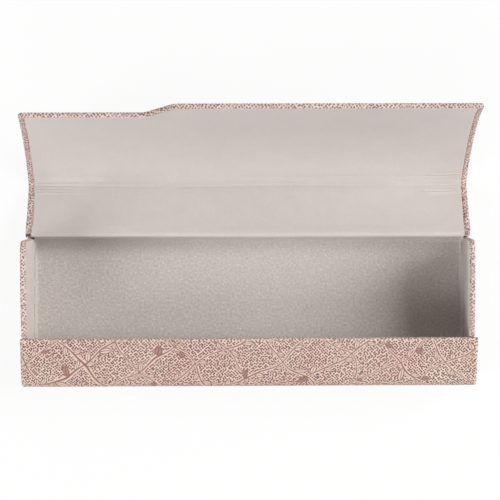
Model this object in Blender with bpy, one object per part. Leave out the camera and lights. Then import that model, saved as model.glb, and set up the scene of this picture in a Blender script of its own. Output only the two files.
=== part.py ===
"""A hard glasses case, lying open on a table.

The case is a tray and a lid. Each is one thin rigid shell, bent from a flat sheet, with a printed
cover turned over its edges and a suede lining set in between the turned edges. Two flat end
pieces close the tray. A strip of doubled cloth joins the lid to the low back wall of the tray,
and small magnets in the flap and in the front panel hold the case shut.

X runs along the case, Y from the front to the back and Z up. The origin is at the middle of the
underside of the tray. All lengths are in metres. The lid is drawn shut, about a pivot on the
hinge line, and the pivot turns it open until its fold lies on the table.
"""
import math

import bmesh
import bpy
import numpy as np

# The layers of both sheets, from the inside to the outside
SHEET_WIDTH = 0.165
LINING = 0.0004
GLUE = 0.0002
SHELL = 0.0008
COVER = 0.00035
TURN_IN = 0.0021

# The closed lid's inner face, from the hinge line up the back, round the fold and over the top
HINGE_HEIGHT = 0.0122
BACK_LEAN = math.radians(5.9)
BACK_RUN = 0.0205
FOLD_RADIUS = 0.0037
FOLD_TURN = math.radians(83.5)
TOP_RADIUS = 0.104
FLAP_RUN = 0.0484

# The step in the free edge of the flap: a hollow bend, a slope and a round shoulder
STEP_HEIGHT = 0.0085
STEP_SLOPE = math.radians(38)
STEP_FROM_END = 0.0583
SHOULDER_RADIUS = 0.005
HOLLOW_RADIUS = 0.008
FLAP_CORNER = 0.0015

# The tray, whose front panel lies under the flap
CLOSED_GAP = 0.0004
FLAP_OVERLAP = 0.0158
PANEL_RUN = 0.0161
NOSE_RADIUS = 0.002
FOOT_RADIUS = 0.0022

# The end pieces
END_INSET = 0.0011
END_BOARD = 0.0008
END_TURN_IN = 0.0012
FRONT_EDGE_GAP = 0.0003

# The cloth hinge
HINGE_CLOTH = 0.0007
HINGE_BEAD_RADIUS = 0.0006
HINGE_BEAD_GAP = 0.00025
SWING_GAP = 0.0002

# The magnets
MAGNET_RADIUS = 0.004
MAGNET_THICKNESS = 0.0006
MAGNET_FIT = 0.0003
MAGNET_FROM_STEP = 0.0142
MAGNET_FROM_END = 0.0285

# How finely curves are cut, and how far a cutter reaches past what it cuts
CURVE_TOLERANCE = 0.00004
OVERRUN = 0.001
FLAP_SPARE = 0.002
TRIM_OVERRUN = 0.003
CORNER_STEPS = 4
ROUND_STEPS = 28

WALL = LINING + GLUE + SHELL + GLUE + COVER
SHELL_LOW = LINING + GLUE
SHELL_MIDDLE = SHELL_LOW + SHELL / 2
EDGE_FIT = COVER + GLUE
END_THICKNESS = LINING + GLUE + END_BOARD + GLUE + COVER

FRONT_EDGE_RUN = FLAP_RUN - FLAP_OVERLAP
SHOULDER_X = STEP_FROM_END - SHEET_WIDTH / 2
MAGNET_X = {"left": SHOULDER_X + MAGNET_FROM_STEP, "right": SHEET_WIDTH / 2 - MAGNET_FROM_END}
SIDES = (("left", -1), ("right", 1))

# Each finish is a colour, a roughness and a metallic value
PRINTED_COVER = ((0.558, 0.385, 0.335, 1.0), 0.62, 0.0)
SUEDE = ((0.604, 0.546, 0.503, 1.0), 0.95, 0.0)
SHELL_PLASTIC = ((0.16, 0.15, 0.14, 1.0), 0.55, 0.0)
GREY_BOARD = ((0.30, 0.26, 0.21, 1.0), 0.9, 0.0)
NICKEL = ((0.62, 0.60, 0.57, 1.0), 0.25, 1.0)


class Section:
    """A line in the Y-Z plane, made of straight and round stretches.

    A place on it is given by its run, the distance along the line, and by its offset, the
    distance to the right of travel, which is the outward side of every wall here.
    """

    def __init__(self, start, heading):
        self.starts = [np.array(start, dtype=float)]
        self.headings = [heading]
        self.marks = [0.0]
        self.turns = []

    def stretch(self, run, turn=0.0):
        """Adds a stretch of this run that turns left by this angle, or goes straight."""
        heading = self.headings[-1]
        chord = run * np.sinc(turn / 2 / math.pi)
        middle = heading + turn / 2
        self.starts.append(self.starts[-1] + chord * np.array([math.cos(middle), math.sin(middle)]))
        self.headings.append(heading + turn)
        self.marks.append(self.marks[-1] + run)
        self.turns.append(turn)

    def bend(self, radius, turn):
        """Adds a round stretch of this radius."""
        self.stretch(radius * turn, turn)

    def trace(self, runs, offset=0.0):
        """Returns the Y and Z of each run, moved outward by the offset, and the heading there."""
        runs = np.asarray(runs, dtype=float)
        index = np.searchsorted(self.marks, runs, side="right") - 1
        index = np.clip(index, 0, len(self.turns) - 1)
        marks = np.array(self.marks)
        past = runs - marks[index]
        turned = np.array(self.turns)[index] * past / (marks[index + 1] - marks[index])
        heading = np.array(self.headings)[index] + turned
        # The chord of a round stretch points half way between the headings at its two ends
        chord = past * np.sinc(turned / 2 / math.pi)
        middle = heading - turned / 2
        start = np.array(self.starts)[index]
        y = start[..., 0] + chord * np.cos(middle) + offset * np.sin(heading)
        z = start[..., 1] + chord * np.sin(middle) - offset * np.cos(heading)
        return np.stack([y, z], axis=-1), heading

    def facets(self, first, last):
        """Returns runs between two runs, close enough for a smooth outer face."""
        runs = [first, last]
        for low, high, turn in zip(self.marks, self.marks[1:], self.turns):
            steps = 1
            if turn:
                outer = (high - low) / turn + WALL
                steps = math.ceil(turn / (2 * math.acos(1 - CURVE_TOLERANCE / outer)))
            runs += [run for run in np.linspace(low, high, steps + 1) if first < run < last]
        return np.unique(runs)

    def wall(self, low, high, first, last):
        """Returns the outline of the wall between two offsets and two runs."""
        runs = self.facets(first, last)
        inner, _ = self.trace(runs, low)
        outer, _ = self.trace(runs[::-1], high)
        return np.concatenate([inner, outer])


def lid_section(hinge):
    """The closed lid's inner face, whose middle layer passes through the hinge line."""
    heading = math.pi / 2 + BACK_LEAN
    inward = np.array([-math.sin(heading), math.cos(heading)])
    section = Section(np.array(hinge) + inward * WALL / 2, heading)
    section.stretch(BACK_RUN)
    section.bend(FOLD_RADIUS, FOLD_TURN)
    section.bend(TOP_RADIUS, FLAP_RUN / TOP_RADIUS)
    return section


def tray_section(hinge):
    """The tray's inner face, from the front panel's free edge round to the hinge line."""
    lid = lid_section(hinge)
    inward = CLOSED_GAP + WALL
    start, heading = lid.trace(lid.marks[2] + FRONT_EDGE_RUN, -inward)
    section = Section(start, float(heading))
    section.bend(TOP_RADIUS - inward, PANEL_RUN / TOP_RADIUS)
    section.bend(NOSE_RADIUS, 3 * math.pi / 2 - section.headings[-1])
    section.stretch(section.starts[-1][1] - WALL - FOOT_RADIUS)
    section.bend(FOOT_RADIUS, math.pi / 2)
    section.stretch(hinge[0] - WALL / 2 - FOOT_RADIUS - section.starts[-1][0])
    section.bend(FOOT_RADIUS, math.pi / 2)
    section.stretch(HINGE_HEIGHT - WALL - FOOT_RADIUS)
    return section


def centred_hinge():
    """Places the hinge line so that the tray's front and back faces are as far from the origin."""
    front_wall_y = tray_section((0.0, HINGE_HEIGHT)).starts[2][0] - WALL
    return -(front_wall_y + WALL / 2) / 2, HINGE_HEIGHT


def opening_angle(lid, hinge):
    """How far the shut lid turns until the outside of its fold touches the table."""
    centre, _ = lid.trace(BACK_RUN, -FOLD_RADIUS)
    arm = centre - np.array(hinge)
    drop = HINGE_HEIGHT - FOLD_RADIUS - WALL
    return math.atan2(arm[1], arm[0]) + math.asin(drop / np.hypot(*arm))


HINGE = centred_hinge()
LID = lid_section(HINGE)
TRAY = tray_section(HINGE)
FOLD_END = LID.marks[2]
MAGNET_RUN = FLAP_RUN - FLAP_OVERLAP / 2
OPEN_ANGLE = opening_angle(LID, HINGE)
# Both sheets stop short of the hinge line, so that their edges stay clear when the lid is open
OPEN_CORNER = math.pi + BACK_LEAN - OPEN_ANGLE
HINGE_GAP = (WALL / 2 + SWING_GAP) / math.tan(OPEN_CORNER / 2)


def clear_scene():
    """Removes the objects that the file opened with."""
    for item in list(bpy.data.objects):
        bpy.data.objects.remove(item, do_unlink=True)


def lid_pivot():
    """An empty on the hinge line that carries every piece of the lid and turns it open."""
    pivot = bpy.data.objects.new("lid_pivot", None)
    pivot.location = (0.0, *HINGE)
    pivot.rotation_euler = (-OPEN_ANGLE, 0.0, 0.0)
    bpy.context.scene.collection.objects.link(pivot)
    return pivot


def principled(name, finish):
    """A plain material from a colour, a roughness and a metallic value."""
    colour, roughness, metallic = finish
    material = bpy.data.materials.new(name)
    material.use_nodes = True
    shader = material.node_tree.nodes["Principled BSDF"]
    shader.inputs["Base Color"].default_value = colour
    shader.inputs["Roughness"].default_value = roughness
    shader.inputs["Metallic"].default_value = metallic
    return material


def extrusion(name, corners, direction, finish=None, pivot=None):
    """A closed solid made by extruding a flat outline. Without a finish it is a cutter."""
    shape = bmesh.new()
    origin = np.array([0.0, *HINGE]) if pivot else np.zeros(3)
    face = shape.faces.new([shape.verts.new(corner - origin) for corner in corners])
    grown = bmesh.ops.extrude_face_region(shape, geom=[face])["geom"]
    moved = [item for item in grown if isinstance(item, bmesh.types.BMVert)]
    bmesh.ops.translate(shape, verts=moved, vec=direction)
    bmesh.ops.recalc_face_normals(shape, faces=shape.faces)
    mesh = bpy.data.meshes.new(name)
    shape.to_mesh(mesh)
    shape.free()
    mesh.shade_smooth()
    mesh.set_sharp_from_angle(angle=math.radians(30))
    piece = bpy.data.objects.new(name, mesh)
    bpy.context.scene.collection.objects.link(piece)
    piece.parent = pivot
    if finish:
        mesh.materials.append(principled(name, finish))
    else:
        piece.hide_render = True
        piece.display_type = "WIRE"
    return piece


def bar(name, outline, low_x, high_x, finish=None, pivot=None):
    """Extrudes an outline of Y and Z along X."""
    corners = np.insert(outline, 0, low_x, axis=1)
    return extrusion(name, corners, (high_x - low_x, 0.0, 0.0), finish, pivot)


def cut(piece, cutter):
    """Takes the cutter out of the piece."""
    modifier = piece.modifiers.new(cutter.name, "BOOLEAN")
    modifier.operation = "DIFFERENCE"
    modifier.solver = "EXACT"
    modifier.object = cutter


def free_edge(inset):
    """Returns X and run along the flap's free edge, from left to right, moved in by the inset."""
    half = SHEET_WIDTH / 2 - inset
    corner = max(FLAP_CORNER - inset, 0.0)
    quarter = np.linspace(0, math.pi / 2, CORNER_STEPS + 1 if corner else 1)
    long_run = FLAP_RUN - inset
    short_run = long_run - STEP_HEIGHT
    bends = (HOLLOW_RADIUS + SHOULDER_RADIUS) * (1 - math.cos(STEP_SLOPE))
    slope = (STEP_HEIGHT - bends) / math.sin(STEP_SLOPE)
    width = (HOLLOW_RADIUS + SHOULDER_RADIUS) * math.sin(STEP_SLOPE) + slope * math.cos(STEP_SLOPE)
    hollow = HOLLOW_RADIUS + inset
    shoulder = SHOULDER_RADIUS - inset
    sweep = np.linspace(0, STEP_SLOPE, CORNER_STEPS + 1)
    x = np.concatenate([
        -half + corner * (1 - np.cos(quarter)),
        SHOULDER_X - width + hollow * np.sin(sweep),
        SHOULDER_X - shoulder * np.sin(sweep[::-1]),
        half - corner * (1 - np.sin(quarter)),
    ])
    run = np.concatenate([
        short_run - corner * (1 - np.sin(quarter)),
        short_run + hollow * (1 - np.cos(sweep)),
        long_run - shoulder * (1 - np.cos(sweep[::-1])),
        long_run - corner * (1 - np.cos(quarter)),
    ])
    return x, run


def edge_trim(name, inset, pivot):
    """The cutter beyond the flap's free edge, drawn on the plane that touches the flap there."""
    x, run = free_edge(inset)
    side = SHEET_WIDTH / 2 + OVERRUN
    x = np.concatenate([[-side], x, [side, side, -side]])
    beyond = FLAP_RUN + FLAP_SPARE + OVERRUN
    run = np.concatenate([run[:1], run, run[-1:], [beyond, beyond]])
    touch_run = FLAP_RUN - STEP_HEIGHT / 2
    touch, heading = LID.trace(FOLD_END + touch_run, -TRIM_OVERRUN)
    ahead = run - touch_run
    corners = np.stack([x, touch[0] + ahead * np.cos(heading), touch[1] + ahead * np.sin(heading)],
                       axis=-1)
    reach = TRIM_OVERRUN + WALL + TRIM_OVERRUN
    normal = (0.0, reach * math.sin(heading), -reach * math.cos(heading))
    return extrusion(name, corners, normal, pivot=pivot)


def lid_layer(name, low, high, inset, past=0.0, finish=None, pivot=None):
    """One layer of the lid between two offsets, moved in from its edges by the inset."""
    half = SHEET_WIDTH / 2 - inset
    outline = LID.wall(low, high, HINGE_GAP - past, FOLD_END + FLAP_RUN + FLAP_SPARE)
    piece = bar(name, outline, -half, half, finish, pivot)
    cut(piece, edge_trim("trim_" + name, inset, pivot))
    return piece


def tray_layer(name, low, high, inset, past=0.0, finish=None):
    """One layer of the tray between two offsets, moved in from its edges by the inset."""
    half = SHEET_WIDTH / 2 - inset
    outline = TRAY.wall(low, high, inset, TRAY.marks[-1] - HINGE_GAP + past)
    return bar(name, outline, -half, half, finish)


def disc(name, section, x, run, radius, thickness, finish=None, pivot=None):
    """A flat disc in the shell layer, square to the sheet."""
    centre, heading = section.trace(run, SHELL_MIDDLE - thickness / 2)
    around = np.linspace(0, 2 * math.pi, ROUND_STEPS, endpoint=False)
    along = radius * np.sin(around)
    corners = np.stack([x + radius * np.cos(around), centre[0] + along * np.cos(heading),
                        centre[1] + along * np.sin(heading)], axis=-1)
    normal = (0.0, thickness * math.sin(heading), -thickness * math.cos(heading))
    return extrusion(name, corners, normal, finish, pivot)


def magnets(place, shell, section, run, pivot=None):
    """Two magnets let into a shell, left and right, under the long part of the flap."""
    for side, x in MAGNET_X.items():
        name = place + "_magnet_" + side
        pocket = disc("pocket_" + name, section, x, run, MAGNET_RADIUS + MAGNET_FIT,
                      SHELL + OVERRUN, pivot=pivot)
        cut(shell, pocket)
        disc(name, section, x, run, MAGNET_RADIUS, MAGNET_THICKNESS, NICKEL, pivot)


def build_lid(pivot):
    """The lid: a cover wrapped round its shell, and the lining in the window of the turn-in."""
    cover = lid_layer("lid_cover", 0.0, WALL, 0.0, 0.0, PRINTED_COVER, pivot)
    cut(cover, lid_layer("cavity_lid_cover", COVER, WALL - COVER, COVER, OVERRUN, None, pivot))
    cut(cover, lid_layer("window_lid_cover", -OVERRUN, SHELL_LOW, TURN_IN, OVERRUN, None, pivot))
    shell = lid_layer("lid_shell", SHELL_LOW, SHELL_LOW + SHELL, EDGE_FIT, 0.0, SHELL_PLASTIC, pivot)
    lid_layer("lid_lining", 0.0, LINING, TURN_IN + GLUE, 0.0, SUEDE, pivot)
    magnets("lid", shell, LID, FOLD_END + MAGNET_RUN, pivot)


def build_tray():
    """The tray: made as the lid is, with its turned edge along the top of the front panel."""
    cover = tray_layer("tray_cover", 0.0, WALL, 0.0, 0.0, PRINTED_COVER)
    cut(cover, tray_layer("cavity_tray_cover", COVER, WALL - COVER, COVER, OVERRUN))
    cut(cover, tray_layer("window_tray_cover", -OVERRUN, SHELL_LOW, TURN_IN, OVERRUN))
    shell = tray_layer("tray_shell", SHELL_LOW, SHELL_LOW + SHELL, EDGE_FIT, 0.0, SHELL_PLASTIC)
    tray_layer("tray_lining", 0.0, LINING, TURN_IN + GLUE, 0.0, SUEDE)
    shrink = (TOP_RADIUS - CLOSED_GAP - WALL) / TOP_RADIUS
    magnets("front", shell, TRAY, (MAGNET_RUN - FRONT_EDGE_RUN) * shrink)


def end_outline(inset):
    """The outline of an end piece: under the shut lid above, inside the tray below."""
    step_back = FRONT_EDGE_GAP + inset
    rim, _ = LID.trace(LID.facets(0.0, FOLD_END + FRONT_EDGE_RUN - step_back), -CLOSED_GAP - inset)
    body_runs = TRAY.facets(-step_back, TRAY.marks[-1] - HINGE_GAP - inset)
    body, _ = TRAY.trace(body_runs, -GLUE - inset)
    return np.concatenate([rim, body])


def build_end(side, sign):
    """One end piece: a board in a wrapped cover, lined on its inner face."""
    outer = SHEET_WIDTH / 2 - END_INSET
    inner = outer - END_THICKNESS

    def layer(name, low, high, inset, finish=None):
        return bar(name, end_outline(inset), sign * low, sign * high, finish)

    cover = layer("end_cover_" + side, inner, outer, 0.0, PRINTED_COVER)
    cut(cover, layer("cavity_end_" + side, inner + COVER, outer - COVER, COVER))
    cut(cover, layer("window_end_" + side, inner - OVERRUN, inner + LINING + GLUE, END_TURN_IN))
    board_outer = outer - COVER - GLUE
    layer("end_board_" + side, board_outer - END_BOARD, board_outer, EDGE_FIT, GREY_BOARD)
    layer("end_lining_" + side, inner, inner + LINING, END_TURN_IN + GLUE, SUEDE)


def build_hinge(pivot):
    """The doubled cloth between the sheets, parted where it bends: a bead on the tray's half."""
    half = SHEET_WIDTH / 2 - END_INSET
    low = (WALL - HINGE_CLOTH) / 2
    neck = math.asin(HINGE_CLOTH / 2 / HINGE_BEAD_RADIUS)
    around = np.linspace(neck, 2 * math.pi - neck, ROUND_STEPS // 2) - math.pi / 2
    bead = np.stack([np.cos(around), np.sin(around)], axis=-1) * HINGE_BEAD_RADIUS + HINGE
    foot = np.array([-HINGE_CLOTH / 2, -HINGE_GAP + GLUE]) + HINGE
    other_foot = foot + np.array([HINGE_CLOTH, 0.0])
    bar("hinge_cloth_tray", np.vstack([bead, foot, other_foot]), -half, half, PRINTED_COVER)
    tongue = LID.wall(low, low + HINGE_CLOTH, HINGE_BEAD_RADIUS + HINGE_BEAD_GAP, HINGE_GAP - GLUE)
    bar("hinge_cloth_lid", tongue, -half, half, PRINTED_COVER, pivot)


clear_scene()
lid_turns_on = lid_pivot()
build_tray()
for end_side, end_sign in SIDES:
    build_end(end_side, end_sign)
build_hinge(lid_turns_on)
build_lid(lid_turns_on)
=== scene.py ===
"""A hard glasses case lying open: a printed tray and lid on a cloth hinge, lined with suede.

X runs along the case, Y from the front panel to the hinge and Z up, all in metres.
"""
import math

import bpy
import numpy as np
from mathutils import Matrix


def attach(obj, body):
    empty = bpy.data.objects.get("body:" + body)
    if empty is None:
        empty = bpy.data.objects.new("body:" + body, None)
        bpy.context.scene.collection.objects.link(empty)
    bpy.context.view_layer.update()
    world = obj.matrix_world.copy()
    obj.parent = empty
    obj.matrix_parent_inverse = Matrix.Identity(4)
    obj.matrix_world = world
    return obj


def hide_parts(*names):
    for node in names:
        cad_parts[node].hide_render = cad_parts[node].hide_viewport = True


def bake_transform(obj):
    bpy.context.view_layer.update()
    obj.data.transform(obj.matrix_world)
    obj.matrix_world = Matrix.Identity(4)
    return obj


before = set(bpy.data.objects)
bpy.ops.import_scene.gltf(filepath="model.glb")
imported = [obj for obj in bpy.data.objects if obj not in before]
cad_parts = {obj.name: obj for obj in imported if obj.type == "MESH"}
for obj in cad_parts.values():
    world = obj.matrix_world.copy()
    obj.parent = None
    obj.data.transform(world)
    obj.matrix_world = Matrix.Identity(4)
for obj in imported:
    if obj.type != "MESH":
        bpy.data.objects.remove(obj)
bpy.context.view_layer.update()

# The shells. Each is a thin sheet of plastic, bent warm over a former: the tray into a trough with
# a sloping front panel, and the lid into a back, a fold and a long shallow curve. They carry all
# the other pieces, and the covers and linings hide them.
WALL = 0.00195
HINGE = np.array([0.0274127, 0.0122])
HINGE_GAP = 0.0020767
OPEN_ANGLE = math.radians(126.897)
BACK_LEAN = math.radians(5.9)
LID_BACK = 0.0205
LID_FOLD = (0.0037, 83.5)
LID_CURVE = (0.104, 26.6646)
TRAY_BACK = 0.00805
TRAY_FLOOR = 0.0484754
FOOT_RADIUS = 0.0022
FRONT_RISE = 0.0170552
FRONT_NOSE = (0.002, -63.7701)
FRONT_PANEL = (0.10165, -8.8698)
SHELL_PLASTIC = (0.055, 0.05, 0.046, 1.0)


def bent_sheet(start, heading, outward, stretches):
    """Returns a function that lays a flat sheet on a bent section.

    The section is a chain of stretches, each a length and the angle that it turns through. The
    heading turns evenly along a stretch, so the chord from its start is the length travelled,
    times the sine of half the angle turned over half that angle. The offset is square to it.
    """
    lengths, turns = np.array(stretches).T
    marks = np.concatenate([[0.0], np.cumsum(lengths)])
    headings = heading + np.concatenate([[0.0], np.cumsum(turns)])
    middles = headings[:-1] + turns / 2
    chords = lengths * np.sinc(turns / 2 / math.pi)
    steps = np.stack([chords * np.cos(middles), chords * np.sin(middles)], axis=-1)
    starts = start + np.concatenate([np.zeros((1, 2)), np.cumsum(steps, axis=0)])

    def place(x, reach, offset):
        x, reach, offset = np.broadcast_arrays(x, reach, offset)
        index = np.clip(np.searchsorted(marks, reach, side="right") - 1, 0, len(turns) - 1)
        past = reach - marks[index]
        turned = turns[index] * past / lengths[index]
        chord = past * np.sinc(turned / 2 / math.pi)
        middle = headings[index] + turned / 2
        here = headings[index] + turned
        y = starts[index, 0] + chord * np.cos(middle) + outward * offset * np.sin(here)
        z = starts[index, 1] + chord * np.sin(middle) - outward * offset * np.cos(here)
        return np.stack([x, y, z], axis=-1)

    def length_at(reach, offset):
        """The length of the face at an offset, up to a reach: outside a bend it is longer."""
        return reach + outward * offset * np.interp(reach, marks, headings - heading)

    place.marks = marks
    place.turns = turns
    place.length_at = length_at
    return place


def arc(radius, degrees):
    """A round stretch: the length of its inner face and the angle that it turns through."""
    return radius * math.radians(abs(degrees)), math.radians(degrees)


def lid_section(turned_open):
    """The lid's section from the hinge line, turned open by this angle from shut."""
    heading = math.pi / 2 + BACK_LEAN - turned_open
    inward = np.array([-math.sin(heading), math.cos(heading)])
    stretches = [(LID_BACK, 0.0), arc(*LID_FOLD), arc(*LID_CURVE)]
    return bent_sheet(HINGE + inward * WALL / 2, heading, 1, stretches)


on_lid = lid_section(OPEN_ANGLE)
on_shut_lid = lid_section(0.0)
on_tray = bent_sheet(HINGE - np.array([WALL / 2, 0.0]), -math.pi / 2, -1, [
    (TRAY_BACK, 0.0), arc(FOOT_RADIUS, -90), (TRAY_FLOOR, 0.0), arc(FOOT_RADIUS, -90),
    (FRONT_RISE, 0.0), arc(*FRONT_NOSE), arc(*FRONT_PANEL),
])
FOLD_START, FOLD_END, LID_LENGTH = on_lid.marks[1:]
TRAY_LENGTH = on_tray.marks[-1]


class Graph:
    """Adds shader nodes to a tree. An input is given as a plain value or as another's output."""

    def __init__(self, tree):
        self.tree = tree

    def node(self, kind, inputs=None, **settings):
        node = self.tree.nodes.new(kind)
        for name, value in settings.items():
            setattr(node, name, value)
        for name, value in (inputs or {}).items():
            if isinstance(value, bpy.types.NodeSocket):
                self.tree.links.new(value, node.inputs[name])
            else:
                node.inputs[name].default_value = value
        return node

    def math(self, operation, *values):
        inputs = dict(enumerate(values))
        return self.node("ShaderNodeMath", inputs, operation=operation).outputs[0]

    def vector(self, operation, *values):
        inputs = dict(enumerate(values))
        return self.node("ShaderNodeVectorMath", inputs, operation=operation).outputs[0]

    def times(self, first, *others):
        for other in others:
            first = self.math("MULTIPLY", first, other)
        return first

    def times_plus(self, value, factor, added):
        return self.math("MULTIPLY_ADD", value, factor, added)

    def inverse(self, value):
        """1 less the value."""
        return self.math("SUBTRACT", 1.0, value)

    def fade(self, value, low, high):
        """Rises smoothly from 0 to 1 as the value goes from low to high."""
        inputs = {"Value": value, "From Min": low, "From Max": high}
        node = self.node("ShaderNodeMapRange", inputs, interpolation_type="SMOOTHSTEP")
        return node.outputs["Result"]

    def mix(self, share, first, second):
        inputs = {0: share, 6: first, 7: second}
        return self.node("ShaderNodeMix", inputs, data_type="RGBA").outputs[2]

    def noise(self, vector, scale, detail=2.0, roughness=0.5):
        inputs = {"Vector": vector, "Scale": scale, "Detail": detail, "Roughness": roughness}
        return self.node("ShaderNodeTexNoise", inputs).outputs["Fac"]

    def spots(self, vector, scale, randomness=1.0):
        """The distance to the nearest of many points on the flat cloth."""
        inputs = {"Vector": vector, "Scale": scale, "Randomness": randomness}
        node = self.node("ShaderNodeTexVoronoi", inputs, voronoi_dimensions="2D", feature="F1")
        return node.outputs["Distance"]

    def chance(self, *keys):
        """A random share that differs from one pair or triple of keys to the next."""
        key = self.node("ShaderNodeCombineXYZ", dict(enumerate(keys))).outputs[0]
        return self.node("ShaderNodeTexWhiteNoise", {"Vector": key},
                         noise_dimensions=f"{len(keys)}D").outputs["Value"]

    def turned(self, vector, angle):
        """The vector turned about Z."""
        inputs = {"Vector": vector, "Angle": angle}
        return self.node("ShaderNodeVectorRotate", inputs, rotation_type="Z_AXIS").outputs[0]

    def cloth_place(self):
        """The place on the flat cloth in metres, from the piece's own UV map."""
        return self.node("ShaderNodeUVMap", uv_map="cloth").outputs["UV"]

    def mark(self, name):
        """The value that the piece's points carry under this name, or 0 if they have none."""
        return self.node("ShaderNodeAttribute", attribute_name=name).outputs["Fac"]

    def uneven(self, vector, colour, coarse, fine, share):
        """The colour with an uneven tone of a coarse and a fine scale, and the tone itself."""
        inputs = {"Vector": vector, "Color": colour, "Coarse Scale": coarse,
                  "Fine Scale": fine, "Share": share}
        tree = bpy.data.node_groups["uneven_tone"]
        return self.node("ShaderNodeGroup", inputs, node_tree=tree).outputs


def new_material(name, **sockets):
    """A material with a plain Principled shader whose sockets have these values."""
    material = bpy.data.materials.new(name)
    material.use_nodes = True
    shader = material.node_tree.nodes["Principled BSDF"]
    for socket, value in sockets.items():
        shader.inputs[socket.replace("_", " ")].default_value = value
    return material, Graph(material.node_tree), shader


def finish_surface(graph, shader, colour, roughness, height, depth):
    """Joins a colour, a roughness and a relief of this depth in metres to the shader."""
    links = graph.tree.links
    bump = graph.node("ShaderNodeBump", {"Height": height, "Distance": depth})
    links.new(colour, shader.inputs["Base Color"])
    links.new(roughness, shader.inputs["Roughness"])
    links.new(bump.outputs["Normal"], shader.inputs["Normal"])


def mottled_material(name, colour, scales, share, roughness, depth, **sockets):
    """A plain material: one uneven tone changes its colour by a share, its roughness and relief.

    The roughness is given where the tone is 0, and then how much more it is where the tone is 1.
    """
    material, graph, shader = new_material(name, **sockets)
    where = graph.node("ShaderNodeTexCoord").outputs["Object"]
    tone = graph.uneven(where, colour, *scales, share)
    rough = graph.times_plus(tone["Value"], roughness[1], roughness[0])
    finish_surface(graph, shader, tone["Color"], rough, tone["Value"], depth)
    return material


def dress(material, *names):
    """Gives this material to solids that the scene shows as they are."""
    for name in names:
        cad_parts[name].data.materials.clear()
        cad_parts[name].data.materials.append(material)


# Uneven tone: two sizes of noise that lighten and darken a colour by a share
tone = Graph(bpy.data.node_groups.new("uneven_tone", "ShaderNodeTree"))
for way, names in (("INPUT", ("Vector", "Color", "Coarse Scale", "Fine Scale", "Share")),
                   ("OUTPUT", ("Color", "Value"))):
    for name in names:
        kind = name if name in ("Vector", "Color") else "Float"
        tone.tree.interface.new_socket(name, in_out=way, socket_type="NodeSocket" + kind)
given = tone.node("NodeGroupInput").outputs
result = tone.node("NodeGroupOutput")
coarse = tone.noise(given["Vector"], given["Coarse Scale"], 3.0)
fine = tone.noise(given["Vector"], given["Fine Scale"], 3.0, 0.6)
both = tone.math("ADD", tone.times(coarse, 0.5), tone.times(fine, 0.5))
gain = tone.times_plus(tone.math("SUBTRACT", both, 0.5), given["Share"], 1.0)
scaled = tone.node("ShaderNodeVectorMath", {0: given["Color"], "Scale": gain}, operation="SCALE")
tone.tree.links.new(scaled.outputs[0], result.inputs["Color"])
tone.tree.links.new(both, result.inputs["Value"])

plastic = mottled_material("shell_plastic", SHELL_PLASTIC, (90.0, 2500.0), 0.5, (0.4, 0.3), 0.00004,
                           Specular_IOR_Level=0.4)
dress(plastic, "tray_shell", "lid_shell")


# The covers. A coated cotton cloth printed with leafy sprigs on a stippled ground is glued over
# the outside of each shell, turned over its edges and glued down again as a narrow band inside.
HALF_WIDTH = 0.0825
COVER = 0.00035
TURN_IN = 0.0024
EDGE_ROUNDING = 0.0007
TUCKED = 0.00025
HINGE_TUCK = 0.0003
STEP_HEIGHT = 0.00865
STEP_SLOPE = math.radians(39)
STEP_END_X = -0.0254
SHOULDER_RADIUS = 0.0038
HOLLOW_RADIUS = 0.0045
FLAP_CORNERS = (0.0015, 0.0009)
PANEL_CORNERS = (0.0006, 0.0006)
SHARPEST_CORNER = 0.00008
TURN_PER_ROW = math.radians(7)
COVER_ROWS = 0.002
STRAY = 0.0003
STRAY_AT_CORNER = 0.009


def bend_reaches(section, first, last, spacing):
    """Reaches between two, closer together where the section bends sharply."""
    reaches = [first, last]
    for low, high, turn in zip(section.marks, section.marks[1:], section.turns):
        count = math.ceil(max((high - low) / spacing, abs(turn) / TURN_PER_ROW))
        reaches += [reach for reach in np.linspace(low, high, count + 1)
                    if first + spacing / 2 < reach < last - spacing / 2]
    return np.unique(reaches)


def free_edge(inset, length, corner_radii, step_height):
    """X and reach along a free edge, from left to right, moved in from it by the inset.

    The edge is straight, with round corners. With a step, a hollow bend, a straight slope and a
    round shoulder lift the part right of it by the step's height.
    """
    half = HALF_WIDTH - inset
    corners = [max(radius - inset, SHARPEST_CORNER) for radius in corner_radii]
    quarter = np.linspace(0, math.pi / 2, 7)
    across, along = 1 - np.cos(quarter), 1 - np.sin(quarter)
    long_reach = length - inset
    low_reach = long_reach - step_height
    left = [corners[0] * across - half, low_reach - corners[0] * along]
    right = [half - corners[1] * along, long_reach - corners[1] * across]
    if not step_height:
        x = np.linspace(left[0][-1], right[0][0], 84)
        reach = np.full(len(x), long_reach)
    else:
        sweep = np.linspace(0, STEP_SLOPE, 9)
        bends = HOLLOW_RADIUS + SHOULDER_RADIUS
        slope = (step_height - bends * (1 - math.cos(STEP_SLOPE))) / math.sin(STEP_SLOPE)
        width = bends * math.sin(STEP_SLOPE) + slope * math.cos(STEP_SLOPE)
        hollow, shoulder = HOLLOW_RADIUS + inset, SHOULDER_RADIUS - inset
        hollow_x = STEP_END_X - width + hollow * np.sin(sweep)
        shoulder_x = STEP_END_X - shoulder * np.sin(sweep[::-1])
        before = np.linspace(left[0][-1], hollow_x[0], 28)
        after = np.linspace(shoulder_x[-1], right[0][0], 53)
        x = np.concatenate([before[:-1], hollow_x, shoulder_x, after[1:]])
        reach = np.concatenate([
            np.full(len(before) - 1, low_reach),
            low_reach + hollow * (1 - np.cos(sweep)),
            long_reach - shoulder * (1 - np.cos(sweep[::-1])),
            np.full(len(after) - 1, long_reach),
        ])
    return (np.concatenate([left[0][:-1], x, right[0][1:]]),
            np.concatenate([left[1][:-1], reach, right[1][1:]]))


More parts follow.
